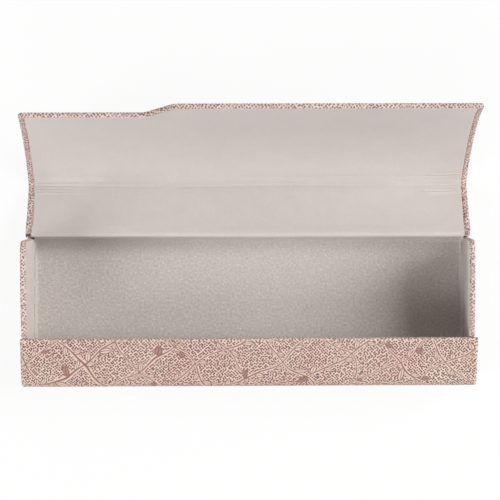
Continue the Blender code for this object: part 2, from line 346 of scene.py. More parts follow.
def rim_profile(thickness, rounding, turn_in):
    """Inset and depth from the outer face, round a turned edge and in along the turned band."""
    sweep = np.linspace(0, math.pi / 2, 7)
    band = turn_in - TUCKED
    inset = np.concatenate([[rounding + HINGE_TUCK], rounding * (1 - np.sin(sweep)),
                            rounding * (1 - np.cos(sweep)), [(rounding + band) / 2, band, turn_in]])
    depth = np.concatenate([[0.0], rounding * (1 - np.cos(sweep)),
                            thickness - rounding * (1 - np.sin(sweep)),
                            [thickness, thickness, thickness - TUCKED]])
    return inset, depth


def travelled(x, y):
    """The length of a flat path up to each of its points."""
    return np.concatenate([[0.0], np.cumsum(np.hypot(np.diff(x), np.diff(y)))])


def loop_normals(loop):
    """Unit normals of a closed loop, on the right of its way round."""
    along = np.roll(loop, -1, axis=0) - np.roll(loop, 1, axis=0)
    normal = np.stack([along[:, 1], -along[:, 0]], axis=-1)
    return normal / np.linalg.norm(normal, axis=1, keepdims=True)


def ring_faces(first, second):
    """Quads between two closed rings of point numbers."""
    return np.stack([first, np.roll(first, -1), np.roll(second, -1), second], axis=-1)


def grid_faces(rows, columns):
    """Quads of a grid of points that are numbered row by row."""
    number = np.arange(rows * columns).reshape(rows, columns)
    return np.stack([number[:-1, :-1], number[:-1, 1:], number[1:, 1:], number[1:, :-1]],
                    axis=-1).reshape(-1, 4)


def cloth_piece(name, points, faces, flat, material, thickness, **marks):
    """A smooth sheet that gets its thickness on the side away from its face.

    Its UV map is the place of each point on the flat cloth, in metres. A mark is a value for each
    point that the materials read: a fold, which on the linings is painted shade; painted light,
    paler, on the linings; or painted shade at one end of the hinge cloth.
    """
    mesh = bpy.data.meshes.new(name)
    mesh.from_pydata(points.tolist(), [], faces)
    corners = np.zeros(len(mesh.loops), dtype=np.int32)
    mesh.loops.foreach_get("vertex_index", corners)
    places = flat[corners].astype(np.float32).ravel()
    mesh.uv_layers.new(name="cloth").uv.foreach_set("vector", places)
    for mark, values in marks.items():
        stored = mesh.attributes.new(mark, "FLOAT", "POINT")
        stored.data.foreach_set("value", values.astype(np.float32).ravel())
    mesh.shade_smooth()
    mesh.materials.append(material)
    piece = bpy.data.objects.new(name, mesh)
    bpy.context.scene.collection.objects.link(piece)
    if thickness:
        solid = piece.modifiers.new("thickness", "SOLIDIFY")
        solid.thickness = thickness
        solid.offset = -1.0
    return piece


def ringed_sheet(edge, rows, insets, starts):
    """The flat outline of a sheet as a grid inside the first inset, and a ring for each inset.

    A ring runs up the left side, along the free edge, down the right side and back along the
    straight edge at its start. Returns x and reach of all points, the ring of each point with the
    grid as 0, the faces, and the first ring with its normals that point outwards.
    """
    share = (rows - rows[0]) / (rows[-1] - rows[0])

    def ring(inset, start):
        x, reach = edge(inset)
        left = start + share * (reach[0] - start)
        right = start + share * (reach[-1] - start)
        ring_x = [np.full(len(left), x[0]), x[1:], np.full(len(right) - 1, x[-1]), x[-2:0:-1]]
        ring_reach = [left, reach[1:], right[-2::-1], np.full(len(x) - 2, start)]
        return np.stack([np.concatenate(ring_x), np.concatenate(ring_reach)], axis=-1)

    x, reach = edge(insets[0])
    grid = np.stack([np.broadcast_to(x, (len(share), len(x))),
                     starts[0] + share[:, None] * (reach - starts[0])], axis=-1)
    number = np.arange(grid.size // 2).reshape(grid.shape[:2])
    border = np.concatenate([number[:, 0], number[-1, 1:], number[-2::-1, -1], number[0, -2:0:-1]])
    rings = [ring(inset, start) for inset, start in zip(insets[1:], starts[1:])]
    numbers = [border] + [number.size + k * len(border) + np.arange(len(border))
                          for k in range(len(rings))]
    places = np.concatenate([grid.reshape(-1, 2)] + rings)
    which = np.repeat(np.arange(len(rings) + 1), [number.size] + [len(border)] * len(rings))
    faces = [grid_faces(*number.shape)] + [ring_faces(a, b) for a, b in zip(numbers, numbers[1:])]
    return places, which, np.concatenate(faces), border, -loop_normals(rings[0])


def strayed(x, reach):
    """X on the lid as it came out: its right end stands out a little past the fold and more at
    the corner, and its left end falls short up to the fold."""
    past_fold = np.clip((reach - FOLD_START) / (FOLD_END - FOLD_START), 0, 1)
    at_corner = np.clip(1 - (LID_LENGTH - reach) / STRAY_AT_CORNER, 0, 1)
    right = STRAY * (past_fold + at_corner)
    return x + np.abs(x) / HALF_WIDTH * np.where(x > 0, right, STRAY * (1 - past_fold))


def wrapped_cover(name, section, edge, body, turned_over):
    """A cover: a grid over the outer face, and rings that carry its rim round the turned edges.

    A ring lies at a depth below the outer face. On the flat cloth it lies outside the outline by
    the length of cloth that it takes to get there. At the hinge no band is turned in: past the
    tuck, a ring is moved in by only a tenth of its inset.
    """
    inset, depth = rim_profile(WALL, EDGE_ROUNDING, TURN_IN)
    tuck = EDGE_ROUNDING + HINGE_TUCK
    starts = HINGE_GAP - COVER + np.minimum(inset, tuck) + np.maximum(inset - tuck, 0.0) / 10
    rows = bend_reaches(section, starts[0], edge(inset[0])[1].max(), COVER_ROWS)
    places, which, faces, border, normal = ringed_sheet(edge, rows, inset, starts)
    beyond = normal * travelled(inset, depth)[1:, None, None]
    flat = np.stack([places[:, 0], section.length_at(places[:, 1], WALL)], axis=-1)
    flat[which > 0] = (flat[border] + beyond).reshape(-1, 2)
    x = strayed(*places.T) if body == "lid" else places[:, 0]
    points = section(x, places[:, 1], WALL - depth[which])
    if turned_over:
        faces = faces[:, ::-1]
    piece = cloth_piece(name, points, faces.tolist(), flat * (1, 1 if turned_over else -1),
                        cloth_material, COVER, fold=(which > 0) & (which < len(inset) - 2))
    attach(piece, body)
    return piece


# The printed cloth: sprigs of pointed leaves along wandering stems, a stipple of fine brown dots
# between them, and grounds that change from pink to cream from one patch to the next. Lengths are
# in millimetres. A line is full up to the first distance from its middle and gone at the second.
GROUNDS = ((0.0, (0.755, 0.510, 0.474)), (0.35, (0.775, 0.550, 0.498)),
           (0.65, (0.795, 0.605, 0.522)), (1.0, (0.820, 0.672, 0.580)))
STIPPLE = (0.080, 0.030, 0.023, 1.0)
STEM = (0.235, 0.105, 0.080, 1.0)
PALE_LEAF = (0.760, 0.610, 0.525, 1.0)
DARK_LEAF = (0.330, 0.170, 0.130, 1.0)
RIM_GROUND = (0.870, 0.720, 0.690, 1.0)
RUBBED_PRINT = (0.740, 0.630, 0.570, 1.0)
SHADED_HINGE_END = (0.060, 0.035, 0.022, 1.0)
ROW_WANDER = 15.0
WANDER_SCALE = 0.042
ROW_SHIFT = 3.7
STEM_LINE = (0.13, 0.27)
STEM_MARGIN = (0.40, 0.65)
RIB_LINE = (0.05, 0.15)
LEAF_LINE = (0.07, 0.20)
LEAF_PITCH = 1.15
LEAF_BASE = 0.42
LEAF_LEAN = math.radians(38)
RIB_END = 0.86
LEAVES_GROWN = 0.82
LEAVES_DARK = 0.13
LEAF_INKS = (0.80, 0.85, 0.90)
DOT_SLANT = math.radians(42)
DOTS_PER_MM = 1.2
DOT_INK = 0.94
DRAWN_TIGHT = (0.92, 0.72, 1.0)
TIGHT_FOLD = 0.8
TIGHT_PRINT = -0.7
TIGHT_INK = -0.17
RIM_SHARE = 0.42
BARE_SHARE = 0.35
RIM_RUBBED = 0.25
PRINT_TONE = (0.16, 2.6, 0.28)
THREAD_SCALE = 0.62
PRINT_RELIEF = 0.00005

cloth_material, graph, shader = new_material("printed_cloth", Specular_IOR_Level=0.35)
millimetres = graph.vector("MULTIPLY", graph.cloth_place(), (1000.0, 1000.0, 1000.0))


def wander(seed):
    """The place on the cloth in millimetres, carried off by smooth noise that differs by seed."""
    moved = graph.vector("ADD", millimetres, (seed, seed * 2.3, 0.0))
    inputs = {"Vector": moved, "Scale": WANDER_SCALE, "Detail": 1.0}
    noise = graph.node("ShaderNodeTexNoise", inputs).outputs["Color"]
    centred = graph.vector("SUBTRACT", noise, (0.5, 0.5, 0.5))
    return graph.vector("MULTIPLY_ADD", centred, (ROW_WANDER, ROW_WANDER, 0.0), moved)


def sprigs(seed, angle, spacing, leaf_length, leaf_width):
    """Masks of stems, leaves and their outlines, in rows that wander over the cloth.

    A row's distance is the place across it, wrapped to the spacing. Leaves stand at an angle, on
    one side of the stem and then the other. A leaf's half width is a sine of the place along it.
    """
    split = graph.node("ShaderNodeSeparateXYZ", {0: graph.turned(wander(seed), angle)})
    along_row, across_row = split.outputs[:2]
    distance = graph.math("WRAP", across_row, spacing / 2, -spacing / 2)
    row = graph.math("DIVIDE", graph.math("SUBTRACT", across_row, distance), spacing)
    shifted = graph.times_plus(row, ROW_SHIFT, along_row)
    pitch = leaf_length * LEAF_PITCH
    along = graph.math("WRAP", shifted, pitch / 2, -pitch / 2)
    leaf = graph.math("DIVIDE", graph.math("SUBTRACT", shifted, along), pitch)
    parity = graph.math("FLOORED_MODULO", graph.math("ROUND", leaf), 2.0)
    side = graph.times_plus(graph.math("GREATER_THAN", parity, 0.5), -2.0, 1.0)
    out = graph.times(distance, side)
    from_base = graph.math("ADD", along, pitch * LEAF_BASE)
    cosine, sine = math.cos(LEAF_LEAN), math.sin(LEAF_LEAN)
    length_on = graph.times_plus(from_base, cosine, graph.times(out, sine))
    off_rib = graph.times_plus(out, cosine, graph.times(from_base, -sine))
    off_rib = graph.math("ABSOLUTE", off_rib)
    share = graph.math("DIVIDE", length_on, leaf_length)
    share = graph.math("MINIMUM", graph.math("MAXIMUM", share, 0.0), 1.0)
    half = graph.times(graph.math("SINE", graph.times(share, math.pi)), leaf_width)
    chance = graph.chance(leaf, row, seed)
    grown = graph.math("LESS_THAN", chance, LEAVES_GROWN)
    margin = graph.math("SUBTRACT", half, off_rib)
    inside = graph.times(graph.fade(margin, 0.0, 0.12), grown)
    on_line = graph.inverse(graph.fade(graph.math("ABSOLUTE", margin), *LEAF_LINE))
    near_leaf = graph.times(graph.fade(half, 0.05, 0.2), grown)
    outline = graph.times(on_line, near_leaf)
    ribbed = graph.times(near_leaf, graph.math("LESS_THAN", share, RIB_END))
    rib = graph.times(graph.inverse(graph.fade(off_rib, *RIB_LINE)), ribbed)
    size = graph.math("ABSOLUTE", distance)
    stem = graph.inverse(graph.fade(size, *STEM_LINE))
    bare = graph.inverse(graph.fade(size, *STEM_MARGIN))
    dark = graph.times(inside, graph.math("LESS_THAN", chance, LEAVES_DARK))
    lines = graph.math("MAXIMUM", stem, graph.math("MAXIMUM", outline, rib))
    return row, lines, inside, dark, graph.math("MAXIMUM", bare, inside)


rows_a, lines_a, leaves_a, dark_a, bare_a = sprigs(11.0, math.radians(34), 12.5, 3.8, 0.75)
rows_b, lines_b, leaves_b, dark_b, bare_b = sprigs(67.0, math.radians(-52), 15.0, 3.4, 0.7)
soft_tint = graph.times_plus(graph.noise(millimetres, 0.03, 1.0), 1.2, -0.35)
tint = graph.times_plus(graph.chance(rows_a, rows_b), 0.55, soft_tint)
ramp = graph.node("ShaderNodeValToRGB", {"Fac": tint})
ramp.color_ramp.elements.new(GROUNDS[1][0])
ramp.color_ramp.elements.new(GROUNDS[2][0])
for stop, (position, colour) in zip(ramp.color_ramp.elements, GROUNDS):
    stop.position = position
    stop.color = (*colour, 1.0)

# At turned edges the ground is paler. On the rims the cloth is drawn tight too: its dots lie
# wider, and its sprigs fade.
fold = graph.mark("fold")
tight = graph.math("GREATER_THAN", fold, TIGHT_FOLD)
wider = graph.vector("MULTIPLY", millimetres, DRAWN_TIGHT)
drawn = graph.node("ShaderNodeMix", {0: tight, 4: millimetres, 5: wider},
                   data_type="VECTOR").outputs[1]
dots = graph.spots(graph.turned(drawn, DOT_SLANT), DOTS_PER_MM, 0.5)
dot_size = graph.times_plus(graph.noise(millimetres, 0.6, 1.0), 0.12, 0.275)
dotted = graph.inverse(graph.fade(graph.math("SUBTRACT", dots, dot_size), 0.0, 0.08))
plain = graph.times_plus(tight, TIGHT_PRINT, 1.0)
bare = graph.times(graph.math("MAXIMUM", bare_a, bare_b), plain)
dotted = graph.times(dotted, graph.inverse(bare))
ground = graph.mix(graph.times(fold, RIM_SHARE), ramp.outputs["Color"], RIM_GROUND)
colour = graph.mix(graph.times(bare, BARE_SHARE), ground, PALE_LEAF)
strength = graph.times_plus(tight, TIGHT_INK, DOT_INK)
colour = graph.mix(graph.times(dotted, strength), colour, STIPPLE)
for masks in ((leaves_b, dark_b, lines_b), (leaves_a, dark_a, lines_a)):
    for mask, share, ink in zip(masks, LEAF_INKS, (PALE_LEAF, DARK_LEAF, STEM)):
        colour = graph.mix(graph.times(mask, share, plain), colour, ink)
printed = graph.uneven(millimetres, colour, *PRINT_TONE)

# Rims are rubbed a little paler, in patches, and one end of the hinge cloth has painted shade,
# nearly black
patchy = graph.fade(graph.noise(millimetres, 0.9, 4.0), 0.52, 0.72)
rubbed = graph.times(fold, patchy, RIM_RUBBED)
wear_and_painted_light = graph.mix(rubbed, printed["Color"], RUBBED_PRINT)
# Painted shade: the left end of the hinge cloth nearly black
wear_and_painted_light = graph.mix(graph.mark("glued"), wear_and_painted_light, SHADED_HINGE_END)

# The coating follows the threads of a plain weave, two to the millimetre
threads = {"Vector": millimetres, "Scale": THREAD_SCALE, "Distortion": 0.6, "Detail": 1.0}
warp, weft = (graph.node("ShaderNodeTexWave", threads, bands_direction=direction).outputs["Fac"]
              for direction in "XY")
relief = graph.times_plus(warp, 0.3, graph.times(weft, 0.3))
relief = graph.times_plus(printed["Value"], 1.2, relief)
roughness = graph.times_plus(printed["Value"], 0.25, 0.48)
finish_surface(graph, shader, wear_and_painted_light, roughness, relief, PRINT_RELIEF)


def lid_edge(inset):
    return free_edge(inset, LID_LENGTH, FLAP_CORNERS, STEP_HEIGHT)


def tray_edge(inset):
    return free_edge(inset, TRAY_LENGTH, PANEL_CORNERS, 0.0)


piece = wrapped_cover("lid_cover_cloth", on_lid, lid_edge, "lid", True)
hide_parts("lid_cover")
piece = wrapped_cover("tray_cover_cloth", on_tray, tray_edge, "tray", False)
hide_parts("tray_cover")


# The magnets. Four thin steel-cased discs lie under the linings, two in the front panel and two
# in the lid's flap, and hold the case shut.
STEEL = (0.50, 0.49, 0.47, 1.0)
steel = mottled_material("plated_steel", STEEL, (300.0, 4000.0), 0.3, (0.2, 0.3), 0.00002,
                         Metallic=1.0)
dress(steel, "front_magnet_left", "front_magnet_right", "lid_magnet_left", "lid_magnet_right")


# The linings. Thin suede-like fabric is glued inside the lid and the tray, just over the turned
# bands of the covers. The lid's is creased along the fold, and the tray's turns up at its ends.
LINING = 0.0004
LINING_PROUD = 0.0001
LINING_INSET = 0.0021
LINING_ROUNDING = 0.0005
LINING_START = 0.0024
LINING_TO_EDGE = 0.0016
LINING_TAPER = 0.005
LINING_EVEN = 0.004
WAVES = 0.00003
LEFTWARD = (-0.04, 0.01)
LID_SUEDE = (0.655, 0.605, 0.580, 1.0)
FLOOR_SUEDE = (0.615, 0.568, 0.532, 1.0)
PAINTED_SHADE_SUEDE = (0.430, 0.390, 0.365, 1.0)
PAINTED_LIGHT_SUEDE = (0.850, 0.800, 0.750, 1.0)
LINT = (0.850, 0.830, 0.800, 1.0)
LINT_SCALE = 260.0
NAP_PATCHES = (22.0, 150.0, 0.22)
SMOOTH_NAP = {"grain": 900.0, "depth": 0.00010, "share": 0.22, "lint": 0.0}
ROUGH_NAP = {"grain": 1150.0, "depth": 0.00022, "share": 1.5, "lint": 0.7}


def suede(name, colour, grain, depth, share, lint, painted_top_light=None):
    """Napped fabric: a fine grain of this scale, over soft patches that the nap leaves.

    Specks of pale lint stand a few millimetres apart, as strong as their share. Where a fold mark
    is given, it has painted shade, darker, and where a mark of painted light is given, it is paler.
    A lining may have painted light towards its top: a paler colour that comes in between two
    heights on the flat cloth.
    """
    material, graph, shader = new_material(name, Specular_IOR_Level=0.15, Sheen_Weight=0.25,
                                           Sheen_Roughness=0.6)
    flat = graph.cloth_place()
    # Painted light: paler towards the top
    if painted_top_light:
        wear_and_painted_light, low, high = painted_top_light
        height = graph.node("ShaderNodeSeparateXYZ", {0: flat}).outputs[1]
        colour = graph.mix(graph.fade(height, low, high), colour, wear_and_painted_light)
    patches = graph.uneven(flat, colour, *NAP_PATCHES)
    fibres = graph.uneven(flat, patches["Color"], grain, grain * 3.5, share)
    near = graph.inverse(graph.fade(graph.spots(flat, LINT_SCALE), 0.04, 0.08))
    napped = graph.mix(graph.times(near, lint), fibres["Color"], LINT)
    # Painted shade: darker where the fold mark is given
    napped = graph.mix(graph.times(graph.mark("fold"), 0.3), napped, PAINTED_SHADE_SUEDE)
    # Painted light: paler where its mark is given
    napped = graph.mix(graph.times(graph.mark("rubbed"), 0.7), napped, PAINTED_LIGHT_SUEDE)
    relief = graph.times_plus(patches["Value"], 0.6, fibres["Value"])
    roughness = graph.times_plus(patches["Value"], 0.1, 0.85)
    finish_surface(graph, shader, napped, roughness, relief, depth)
    return material


def soft_waves(x, reach, size):
    """A smooth unevenness: a sum of a few sines that run in different directions."""
    wave = np.sin(x * 210 + 1.3 * np.sin(reach * 130)) + np.sin(reach * 310 + x * 90 + 0.7)
    return size * (wave + np.sin(x * 470 - reach * 260 + 2.1) * 0.5)


def to_left(x):
    """Rises evenly from 0 near the middle to 1 on the left."""
    return np.interp(x, LEFTWARD, (1, 0))


lid_suede = suede("lid_suede", LID_SUEDE, **SMOOTH_NAP)
floor_suede = suede("tray_suede", FLOOR_SUEDE, **ROUGH_NAP)

# The lid's lining: each crease has a reach, a depth, a width and a phase, and each pucker at its
# ends a reach. Along the fold it has painted shade, darker, and on the flap painted light, paler:
# a share is given for the middle, and how much more it is at the right end.
CREASES = ((0.0210, 0.00016, 0.00026, 0.4), (0.0220, -0.00012, 0.00040, 0.9),
           (0.0231, 0.00022, 0.00026, 2.6), (0.0240, -0.00008, 0.00030, 5.2),
           (0.0249, 0.00018, 0.00030, 4.4))
CREASE_STRAY = 0.0003
PUCKERS = (0.0182, 0.0195, 0.0207, 0.0220, 0.0234, 0.0247, 0.0260)
PUCKER_HEIGHT = 0.00032
PUCKER_WIDTH = 0.00040
PUCKER_LENGTH = 0.014
PUCKER_SLANT = 0.02
PUCKERS_END = 0.0800
CREASED = (0.0175, 0.0290)
CREASED_ROWS = 0.00022
CLOSEST_ROWS = 0.0001
LID_ROWS = 0.0015
WAVES_END = 0.0805
PAINTED_SHADE_REACH = 0.0234
PAINTED_SHADE_WIDTH = 0.0033
PAINTED_SHADE_SHARE = (0.7, 0.3)
PAINTED_LIGHT_RISE = 0.035
PAINTED_LIGHT_SHARE = (0.34, -0.20)


def lid_lining_edge(inset):
    """The lining reaches further along the flap, almost to the rim, than it does sideways."""
    return free_edge(inset, LID_LENGTH + LINING_TO_EDGE, FLAP_CORNERS, STEP_HEIGHT)


def creased(x, reach):
    """How deep the lid's lining lies along the fold, with ridges below 0.

    A crease is a bell curve of the reach, whose middle and depth wander along X. A pucker is a
    ridge: a bell curve of the reach on a slant, times one of the way to the end.
    """
    deep = 0.0
    for middle, depth, width, phase in CREASES:
        off = (reach - middle - CREASE_STRAY * np.sin(x * 75 + phase)) / width
        strength = 0.55 + 0.45 * np.sin(x * 61 + 2.2 * phase) * np.sin(x * 23 + phase)
        deep = deep + depth * strength * np.exp(-off ** 2)
    to_end = PUCKERS_END - np.abs(x)
    for middle in PUCKERS:
        off = (reach - middle + PUCKER_SLANT * to_end) / PUCKER_WIDTH
        deep = deep - PUCKER_HEIGHT * np.exp(-off ** 2 - (to_end / PUCKER_LENGTH) ** 2)
    return deep


sweep = np.linspace(math.pi / 2, 0, 6)
insets = LINING_INSET + LINING_ROUNDING * np.append(2, 1 - np.cos(sweep))
drops = LINING_ROUNDING / 2 * np.append(0, 1 - np.sin(sweep))
starts = LINING_START - LINING_INSET + insets
rows = bend_reaches(on_lid, starts[0], lid_lining_edge(insets[0])[1].max(), LID_ROWS)
rows = np.union1d(rows, np.arange(*CREASED, CREASED_ROWS))
rows = rows[np.append(True, np.diff(rows) > CLOSEST_ROWS)]
places, which, faces, _, _ = ringed_sheet(lid_lining_edge, rows, insets, starts)
x, reach = places.T
inner = (np.clip((reach - LINING_START) / LINING_EVEN, 0, 1)
         * np.clip((WAVES_END - np.abs(x)) / LINING_EVEN, 0, 1))
offset = drops[which] - LINING_PROUD + inner * (creased(x, reach) + soft_waves(x, reach, WAVES))
taper = 1 - LINING_TAPER * np.clip(1 - reach / FOLD_START, 0, 1)
points = on_lid(strayed(x * taper, reach), reach, offset)
# Painted shade: a darker band along the fold
painted_shade = PAINTED_SHADE_SHARE[0] + PAINTED_SHADE_SHARE[1] * x / HALF_WIDTH
painted_shade *= np.exp(-((reach - PAINTED_SHADE_REACH) / PAINTED_SHADE_WIDTH) ** 2)
# Painted light: the flap paler towards its top, most on the left
rubbed = PAINTED_LIGHT_SHARE[0] + PAINTED_LIGHT_SHARE[1] * x / HALF_WIDTH
rubbed *= np.clip((reach - FOLD_END) / PAINTED_LIGHT_RISE, 0, 1)
piece = cloth_piece("lid_lining_suede", points, faces.tolist(), places, lid_suede, LINING,
                    fold=painted_shade, rubbed=rubbed)
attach(piece, "lid")
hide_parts("lid_lining")

# The tray's lining: across, it runs up one end, down round a small bend, over the floor and up
# the other end. The upturned ends are low where the section bends and on the walls. It has painted
# shade in the back bend on the left, and painted light, a little paler, near the middle.
UPTURN_LEFT = 0.0792
UPTURN_RIGHT = 0.0799
UPTURN_RADIUS = 0.0008
UPTURN_HEIGHT = 0.0056
UPTURN_LOW = 0.0014
UPTURN_SLACK = 0.00004
UPTURN_EASE = 0.006
TRAY_ROWS = 0.0012
CUT_ROUNDING = 0.0006
CUT_DROP = 0.0002
BEND_PAINTED_SHADE = 1.4
BEND_WIDTH = 0.003
FLOOR_PAINTED_LIGHT = 0.18
FLOOR_MIDDLE = 0.015
FLOOR_WIDTH = 0.04

turn = np.linspace(0, math.pi / 2, 7)[1:]
bend_in = UPTURN_RADIUS * np.concatenate([np.ones(56), 1 - np.sin(turn), np.zeros(7)])
lift = UPTURN_RADIUS * np.concatenate([np.zeros(56), 1 - np.cos(turn), np.ones(7)])
rise = np.concatenate([np.zeros(62), np.linspace(0, 1, 8)[1:]])
share = np.append(np.linspace(0, 1, 56), np.ones(13))
left, right = (share * (width - bend_in) for width in (UPTURN_LEFT, UPTURN_RIGHT))
across_x = np.append(-left[:0:-1], right)
lift = np.append(lift[:0:-1], lift)
rise = np.append(rise[:0:-1], rise)
end = TRAY_LENGTH - LINING_INSET
reach = np.union1d(bend_reaches(on_tray, LINING_START, end, TRAY_ROWS),
                   end - CUT_ROUNDING * np.sin(sweep) ** 2)
floor_start, floor_end = on_tray.marks[2:4]
to_bend = (floor_end - floor_start) / 2 - np.abs(reach - (floor_start + floor_end) / 2)
tall = np.clip(to_bend / UPTURN_EASE, 0, 1)
height = UPTURN_LOW + (UPTURN_HEIGHT - UPTURN_LOW) * tall ** 2 * (3 - 2 * tall)
lifted = lift + rise * (height - UPTURN_RADIUS)[:, None]
reach = np.broadcast_to(reach[:, None], lifted.shape)
slack = UPTURN_SLACK * (np.sin(reach * 310) + 0.6 * np.sin(reach * 720 + across_x * 20)) ** 2
x = across_x - np.sign(across_x) * slack * rise * tall[:, None]
cut_edge = CUT_DROP * np.clip(1 - (end - reach) / CUT_ROUNDING, 0, 1) ** 2
level = np.clip((UPTURN_LEFT - UPTURN_RADIUS - np.abs(x)) / LINING_EVEN, 0, 1)
offset = cut_edge - LINING_PROUD - lifted + level * soft_waves(x, reach, WAVES)
flat = np.stack([x + np.sign(x) * lifted, reach], axis=-1).reshape(-1, 2)
# Painted shade along the back bend, on the left
painted_shade = BEND_PAINTED_SHADE * np.exp(-(np.maximum(reach - floor_start, 0) / BEND_WIDTH) ** 2)
# Painted light: the floor a little paler near the middle
rubbed = FLOOR_PAINTED_LIGHT * np.exp(-((x - FLOOR_MIDDLE) / FLOOR_WIDTH) ** 2)
piece = cloth_piece("tray_lining_suede", on_tray(x, reach, offset).reshape(-1, 3),
                    grid_faces(*x.shape)[:, ::-1].tolist(), flat, floor_suede, LINING,
                    fold=painted_shade * to_left(x), rubbed=rubbed)
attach(piece, "tray")
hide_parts("tray_lining")


# The hinge. A strip of the printed cloth, doubled, is glued into the back edges of both shells
# and bends between them. A strip of lining, glued on from the tray's back wall to the lid, covers
# it on the inside.
HINGE_IN_TRAY = 0.0820
HINGE_ON_LID = 0.0823
HINGE_CLOTH = 0.0007
HINGE_LEG = 0.0056
HINGE_BEND = 0.00075
HINGE_END_SINK = 0.0008
HINGE_TIP = (0.97, 0.99)
HINGE_END = 0.0785
HINGE_BLEND = 0.0006
END_SHADE_START = -0.0803
END_SHADE_FADE = 0.0003
LID_HEADING = math.pi / 2 + BACK_LEAN - OPEN_ANGLE
STRIP = 0.00025
STRIP_IN_TRAY = 0.0792
STRIP_ON_LID = 0.0801
STRIP_TRAY_LEG = 0.0047
STRIP_LID_LEG = 0.0042
STRIP_SINK = 0.0003
RIPPLE = 0.00002
RIPPLE_END = 0.078
RIPPLE_FADE = 0.002

# Shares of the half width across a strip, closer together towards its ends
across = np.sin(np.linspace(-math.pi / 2, math.pi / 2, 91))


def strip_along(name, path, outward, x, sink, material, thickness, blend, **marks):
    """A strip across the case: a flat path of points carried along X.

    X and how far the strip sinks are given for each point of the path and across. Its blend is
    not used.
    """
    along = np.broadcast_to(travelled(*path.T)[:, None], x.shape)
    ripple = soft_waves(x, along, RIPPLE) * np.clip((RIPPLE_END - np.abs(x)) / RIPPLE_FADE, 0, 1)
    yz = path[:, None, :] + outward[:, None, :] * (ripple - sink)[..., None]
    points = np.concatenate([x[..., None], yz], axis=-1).reshape(-1, 3)
    flat = np.stack([x, along], axis=-1).reshape(-1, 2)
    piece = cloth_piece(name, points, grid_faces(*x.shape).tolist(), flat, material, thickness,
                        **marks)
    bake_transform(piece)
    return piece


# The hinge cloth comes up out of the tray's wall over 8 points of its path, turns over 13 and
# goes down into the lid's over 8. Its ends are pressed flat, and the left one has painted shade,
# nearly black.
lean = np.array([math.cos(LID_HEADING), math.sin(LID_HEADING)])
down = np.array([0.0, -1.0])
apart = (lean - down) / np.linalg.norm(lean - down)
between = (lean + down) / np.linalg.norm(lean + down)
turned = np.linspace(math.pi, LID_HEADING + math.pi / 2, 13)
around = np.stack([np.cos(turned), np.sin(turned)], axis=-1)
bend = HINGE_CLOTH / 2 + HINGE_BEND * math.sin((LID_HEADING + math.pi / 2) / 2)
rim = HINGE + between * HINGE_BEND + bend * around
leg = np.linspace(0, HINGE_LEG - HINGE_BEND, 9)[1:, None]
path = np.concatenate([rim[0] + leg[::-1] * down, rim, rim[-1] + leg * lean])
outward = np.concatenate([np.tile(around[0], (8, 1)), around, np.tile(around[-1], (8, 1))])
number = np.arange(len(path))
x = np.interp(number, (9, 13), (HINGE_IN_TRAY, HINGE_ON_LID))[:, None] * across
crest = np.concatenate([np.zeros(8), np.sin(np.linspace(0, math.pi, 13)), np.zeros(8)])
sink = HINGE_END_SINK * crest[:, None] * np.interp(np.abs(across), HINGE_TIP, (0, 1))
# Painted shade on the left end of the hinge cloth
glued = (np.interp(number, (5, 8, 13, 15), (0, 1, 1, 0))[:, None]
         * np.clip((END_SHADE_START - x) / END_SHADE_FADE, 0, 1))
piece = strip_along("hinge_cloth_strip", path, outward, x, sink, cloth_material, HINGE_CLOTH,
                    (HINGE - apart * HINGE_BLEND, HINGE + apart * HINGE_BLEND),
                    glued=glued, fold=np.abs(x) > HINGE_END)
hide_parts("hinge_cloth_tray", "hinge_cloth_lid")

# The strip of lining: down the tray's back wall over 7 points, round the hinge over 13 and onto
# the lid over 7. It lies lower on the left, and has painted shade there in the tray.
rim = HINGE + (WALL / 2 + STRIP) * around
leg = np.linspace(0, 1, 8)[1:, None]
path = np.concatenate([rim[0] + leg[::-1] * STRIP_TRAY_LEG * down, rim,
                       rim[-1] + leg * STRIP_LID_LEG * lean])
number = np.arange(len(path))
x = np.interp(number, (7, 12), (STRIP_IN_TRAY, STRIP_ON_LID))[:, None] * across
fading = np.concatenate([leg[::-1], np.zeros((len(rim), 1)), leg])
sink = 1.5 * STRIP * fading ** 3 + STRIP_SINK * np.maximum(to_left(x), 0.2) * (1 - fading)
# Painted shade on the tray leg, strongest on the left
painted_shade = np.interp(number, (8, 12), (3.0, 0.0))[:, None] * to_left(x)
piece = strip_along("hinge_lining_strip", path, outward[1:-1], x, sink, lid_suede, STRIP,
                    (rim[0], rim[-1]), fold=painted_shade)


# The two end pieces. Stiff card is wrapped in the printed cloth, which turns onto its inner face
# as a narrow band, and lined. Each stands in the tray, glued to the floor, back and front.
END_FACE_X = 0.0814
END_THICKNESS = 0.00165
END_ROUNDING = 0.0006
END_TURN_IN = 0.0005
END_LINING_PROUD = 0.00035
END_LINING_ROUNDING = 0.00025
END_LINING_FLAT = 0.0007
END_ON_LID = 0.003
END_ON_TRAY = (0.002, 0.0006)
END_SPACING = 0.0012
END_UNDER_LID = 0.0004
END_IN_WALLS = 0.0002
FRONT_STOP = 0.0003
FRONT_OVERLAP = 0.0158
CARD_DEPTH = 0.00040
CARD_INSET = 0.00045
LEANS = {-1: (0.0, -0.00055), 1: (0.00090, -0.00040)}
LEAN_HEIGHTS = (0.002, 0.035)
LEAN_BACK = 0.00025
LEAN_BACK_HEIGHTS = (0.010, 0.030)
ON_CLOTH = (0.3, 0.2)
CARD = (0.36, 0.29, 0.22, 1.0)
SHADED_END_SUEDE = (0.490, 0.450, 0.430, 1.0)
PAINTED_TOP_LIGHT = ((0.920, 0.850, 0.785, 1.0), 0.2205, 0.2355)

